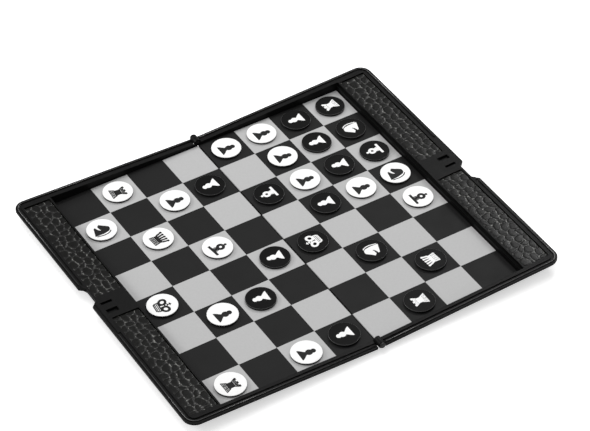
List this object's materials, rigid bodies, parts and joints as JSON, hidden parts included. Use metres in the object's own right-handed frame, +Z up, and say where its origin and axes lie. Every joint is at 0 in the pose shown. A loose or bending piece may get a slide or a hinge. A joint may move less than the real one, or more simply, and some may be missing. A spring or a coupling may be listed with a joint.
{
  "type": "travel chess set",
  "caption": "Folding travel chess set: two shallow grained trays on end hinges, a printed board over steel and magnetic discs that carry the figures.",
  "frame": {"origin": "bottom centre of the open set, on the surface it stands on, under the middle of the fold", "axes": "+X across the fold, from white's side to black's; +Y along the fold, towards the a-file; +Z up"},
  "size_m": [0.2008, 0.1724, 0.0075],
  "materials": {
    "tray_plastic": "satin moulded",
    "cover_grain": "embossed reptile grain, satin",
    "steel": "plain, hidden",
    "board_print": "printed in light and dark squares",
    "inlay_grain": "embossed reptile grain, glossy",
    "pin": "black",
    "white_disc": "printed figure",
    "black_disc": "printed figure"
  },
  "bodies": {
    "left_half": {"tray_left": "tray_plastic", "cover_skin_left": "cover_grain", "steel_sheet_left": "steel", "board_sheet_left": "board_print", "inlay_left_far": "inlay_grain", "inlay_left_near": "inlay_grain", "hinge_pin_near": "pin"},
    "right_half": {"tray_right": "tray_plastic", "cover_skin_right": "cover_grain", "steel_sheet_right": "steel", "board_sheet_right": "board_print", "inlay_right_near": "inlay_grain", "inlay_right_far": "inlay_grain", "hinge_pin_far": "pin"},
    "white_rook_a2": {"white_rook_a2": "white_disc"},
    "white_knight_b1": {"white_knight_b1": "white_disc"},
    "white_pawn_b3": {"white_pawn_b3": "white_disc"},
    "white_queen_c2": {"white_queen_c2": "white_disc"},
    "white_bishop_d3": {"white_bishop_d3": "white_disc"},
    "white_king_e1": {"white_king_e1": "white_disc"},
    "white_pawn_f2": {"white_pawn_f2": "white_disc"},
    "white_pawn_h3": {"white_pawn_h3": "white_disc"},
    "white_rook_h1": {"white_rook_h1": "white_disc"},
    "black_pawn_b4": {"black_pawn_b4": "black_disc"},
    "black_bishop_c5": {"black_bishop_c5": "black_disc"},
    "black_pawn_d6": {"black_pawn_d6": "black_disc"},
    "black_king_e5": {"black_king_e5": "black_disc"},
    "black_pawn_e4": {"black_pawn_e4": "black_disc"},
    "black_pawn_f3": {"black_pawn_f3": "black_disc"},
    "black_pawn_h4": {"black_pawn_h4": "black_disc"},
    "black_knight_f6": {"black_knight_f6": "black_disc"},
    "black_queen_g7": {"black_queen_g7": "black_disc"},
    "black_rook_h6": {"black_rook_h6": "black_disc"},
    "black_rook_a8": {"black_rook_a8": "black_disc"},
    "black_knight_b8": {"black_knight_b8": "black_disc"},
    "black_bishop_c8": {"black_bishop_c8": "black_disc"},
    "black_pawn_a7": {"black_pawn_a7": "black_disc"},
    "black_pawn_b7": {"black_pawn_b7": "black_disc"},
    "black_pawn_c7": {"black_pawn_c7": "black_disc"},
    "white_knight_d8": {"white_knight_d8": "white_disc"},
    "white_bishop_e8": {"white_bishop_e8": "white_disc"},
    "white_pawn_a6": {"white_pawn_a6": "white_disc"},
    "white_pawn_b6": {"white_pawn_b6": "white_disc"},
    "white_pawn_c6": {"white_pawn_c6": "white_disc"},
    "white_pawn_a5": {"white_pawn_a5": "white_disc"},
    "white_pawn_d7": {"white_pawn_d7": "white_disc"}
  },
  "joints": [
    {"name": "case_fold", "type": "hinge", "parent": "left_half", "child": "right_half", "pos_m": [0, 0, 0.00405], "axis": [0, -1, 0], "range_deg": [0, 175.8]},
    {"name": "white_rook_a2_lift", "type": "slide", "parent": "left_half", "child": "white_rook_a2", "axis": [0, 0, 1], "range_m": [0, 0.0018]},
    {"name": "white_knight_b1_lift", "type": "slide", "parent": "left_half", "child": "white_knight_b1", "axis": [0, 0, 1], "range_m": [0, 0.00255]},
    {"name": "white_pawn_b3_lift", "type": "slide", "parent": "left_half", "child": "white_pawn_b3", "axis": [0, 0, 1], "range_m": [0, 0.00105]},
    {"name": "white_queen_c2_lift", "type": "slide", "parent": "left_half", "child": "white_queen_c2", "axis": [0, 0, 1], "range_m": [0, 0.0018]},
    {"name": "white_bishop_d3_lift", "type": "slide", "parent": "left_half", "child": "white_bishop_d3", "axis": [0, 0, 1], "range_m": [0, 0.00105]},
    {"name": "white_king_e1_lift", "type": "slide", "parent": "left_half", "child": "white_king_e1", "axis": [0, 0, 1], "range_m": [0, 0.00255]},
    {"name": "white_pawn_f2_lift", "type": "slide", "parent": "left_half", "child": "white_pawn_f2", "axis": [0, 0, 1], "range_m": [0, 0.00485]},
    {"name": "white_pawn_h3_lift", "type": "slide", "parent": "left_half", "child": "white_pawn_h3", "axis": [0, 0, 1], "range_m": [0, 0.0011]},
    {"name": "white_rook_h1_lift", "type": "slide", "parent": "left_half", "child": "white_rook_h1", "axis": [0, 0, 1], "range_m": [0, 0.0063]},
    {"name": "black_pawn_b4_lift", "type": "slide", "parent": "left_half", "child": "black_pawn_b4", "axis": [0, 0, 1], "range_m": [0, 0.0019]},
    {"name": "black_bishop_c5_lift", "type": "slide", "parent": "right_half", "child": "black_bishop_c5", "axis": [0, 0, 1], "range_m": [0, 0.0019]},
    {"name": "black_pawn_d6_lift", "type": "slide", "parent": "right_half", "child": "black_pawn_d6", "axis": [0, 0, 1], "range_m": [0, 0.00105]},
    {"name": "black_king_e5_lift", "type": "slide", "parent": "right_half", "child": "black_king_e5", "axis": [0, 0, 1], "range_m": [0, 0.00035]},
    {"name": "black_pawn_e4_lift", "type": "slide", "parent": "left_half", "child": "black_pawn_e4", "axis": [0, 0, 1], "range_m": [0, 0.00035]},
    {"name": "black_pawn_f3_lift", "type": "slide", "parent": "left_half", "child": "black_pawn_f3", "axis": [0, 0, 1], "range_m": [0, 0.00105]},
    {"name": "black_pawn_h4_lift", "type": "slide", "parent": "left_half", "child": "black_pawn_h4", "axis": [0, 0, 1], "range_m": [0, 0.0019]},
    {"name": "black_knight_f6_lift", "type": "slide", "parent": "right_half", "child": "black_knight_f6", "axis": [0, 0, 1], "range_m": [0, 0.00105]},
    {"name": "black_queen_g7_lift", "type": "slide", "parent": "right_half", "child": "black_queen_g7", "axis": [0, 0, 1], "range_m": [0, 0.00485]},
    {"name": "black_rook_h6_lift", "type": "slide", "parent": "right_half", "child": "black_rook_h6", "axis": [0, 0, 1], "range_m": [0, 0.0011]},
    {"name": "black_rook_a8_lift", "type": "slide", "parent": "right_half", "child": "black_rook_a8", "axis": [0, 0, 1], "range_m": [0, 0.0063]},
    {"name": "black_knight_b8_lift", "type": "slide", "parent": "right_half", "child": "black_knight_b8", "axis": [0, 0, 1], "range_m": [0, 0.0025]},
    {"name": "black_bishop_c8_lift", "type": "slide", "parent": "right_half", "child": "black_bishop_c8", "axis": [0, 0, 1], "range_m": [0, 0.0063]},
    {"name": "black_pawn_a7_lift", "type": "slide", "parent": "right_half", "child": "black_pawn_a7", "axis": [0, 0, 1], "range_m": [0, 0.0018]},
    {"name": "black_pawn_b7_lift", "type": "slide", "parent": "right_half", "child": "black_pawn_b7", "axis": [0, 0, 1], "range_m": [0, 0.0048]},
    {"name": "black_pawn_c7_lift", "type": "slide", "parent": "right_half", "child": "black_pawn_c7", "axis": [0, 0, 1], "range_m": [0, 0.0018]},
    {"name": "white_knight_d8_lift", "type": "slide", "parent": "right_half", "child": "white_knight_d8", "axis": [0, 0, 1], "range_m": [0, 0.0063]},
    {"name": "white_bishop_e8_lift", "type": "slide", "parent": "right_half", "child": "white_bishop_e8", "axis": [0, 0, 1], "range_m": [0, 0.0025]},
    {"name": "white_pawn_a6_lift", "type": "slide", "parent": "right_half", "child": "white_pawn_a6", "axis": [0, 0, 1], "range_m": [0, 0.0034]},
    {"name": "white_pawn_b6_lift", "type": "slide", "parent": "right_half", "child": "white_pawn_b6", "axis": [0, 0, 1], "range_m": [0, 0.00105]},
    {"name": "white_pawn_c6_lift", "type": "slide", "parent": "right_half", "child": "white_pawn_c6", "axis": [0, 0, 1], "range_m": [0, 0.0034]},
    {"name": "white_pawn_a5_lift", "type": "slide", "parent": "right_half", "child": "white_pawn_a5", "axis": [0, 0, 1], "range_m": [0, 0.0019]},
    {"name": "white_pawn_d7_lift", "type": "slide", "parent": "right_half", "child": "white_pawn_d7", "axis": [0, 0, 1], "range_m": [0, 0.00485]}
  ]
}
